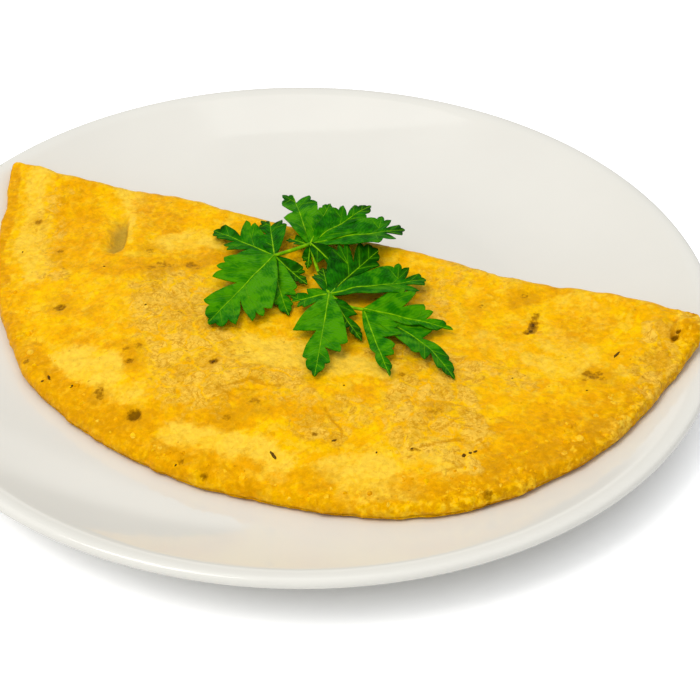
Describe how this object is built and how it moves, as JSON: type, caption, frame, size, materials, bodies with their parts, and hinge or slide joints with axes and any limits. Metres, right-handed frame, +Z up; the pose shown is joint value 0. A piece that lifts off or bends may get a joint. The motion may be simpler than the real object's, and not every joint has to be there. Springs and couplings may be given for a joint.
{
  "type": "folded omelette",
  "caption": "Folded half-moon omelette with browned patches, served on a plain white dinner plate with a sprig of flat-leaf parsley.",
  "frame": {"origin": "middle of the plate at table level, under its foot ring", "axes": "+Z up, +X to the right of someone facing the omelette's open curved edge, +Y away from them"},
  "size_m": [0.27, 0.27, 0.0314],
  "materials": {
    "plate": "glossy warm white glaze",
    "egg": "moist cooked egg, golden yellow with orange-brown patches and dark flecks",
    "parsley": "fresh green leaf with paler veins and stalks"
  },
  "bodies": {
    "root": {"plate": "plate", "omelette": "egg", "parsley": "parsley"}
  },
  "joints": []
}
